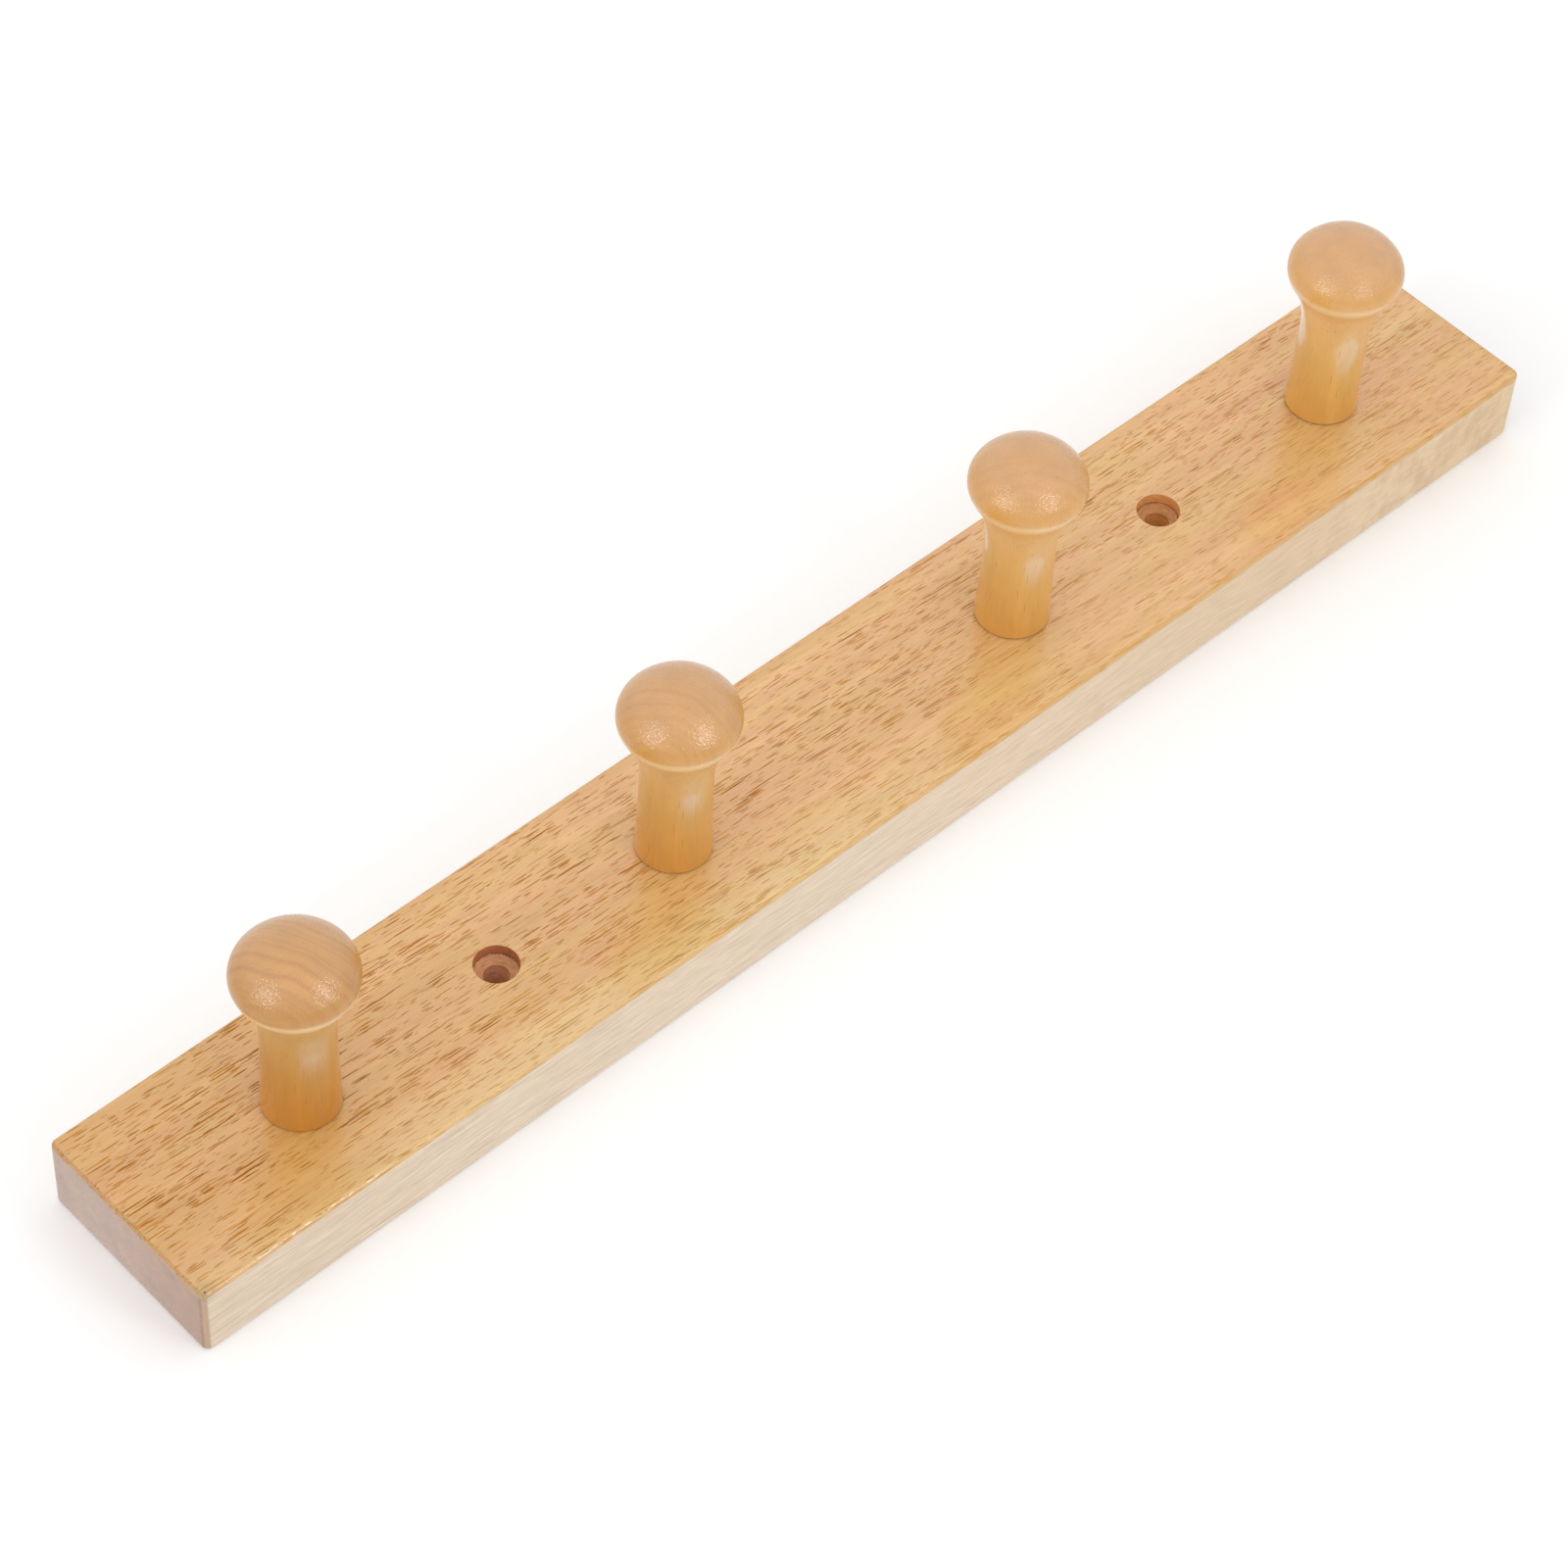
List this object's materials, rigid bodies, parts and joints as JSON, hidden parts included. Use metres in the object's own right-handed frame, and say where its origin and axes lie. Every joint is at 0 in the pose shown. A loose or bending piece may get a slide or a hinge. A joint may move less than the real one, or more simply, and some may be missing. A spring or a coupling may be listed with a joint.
{
  "type": "wall coat hook",
  "caption": "Lacquered hardwood board with turned mushroom-head pegs for coats, screwed flat to a wall through recessed holes.",
  "frame": {"origin": "middle of the board's back face, which is the plane of the wall", "axes": "+X along the board from peg 1 to peg 4, +Y across the board, +Z out of the wall along the pegs; the rack lies on its back on a bench in this frame"},
  "size_m": [0.396, 0.05, 0.0718],
  "materials": {
    "board_wood": "open-pored rubberwood under clear satin lacquer",
    "peg_wood": "turned rubberwood under clear semi-gloss lacquer",
    "screw_steel": "yellow zinc plated"
  },
  "bodies": {
    "root": {"board": "board_wood", "peg_1": "peg_wood", "peg_2": "peg_wood", "peg_3": "peg_wood", "peg_4": "peg_wood", "peg_screw_1": "screw_steel", "peg_screw_2": "screw_steel", "peg_screw_3": "screw_steel", "peg_screw_4": "screw_steel"}
  },
  "joints": []
}
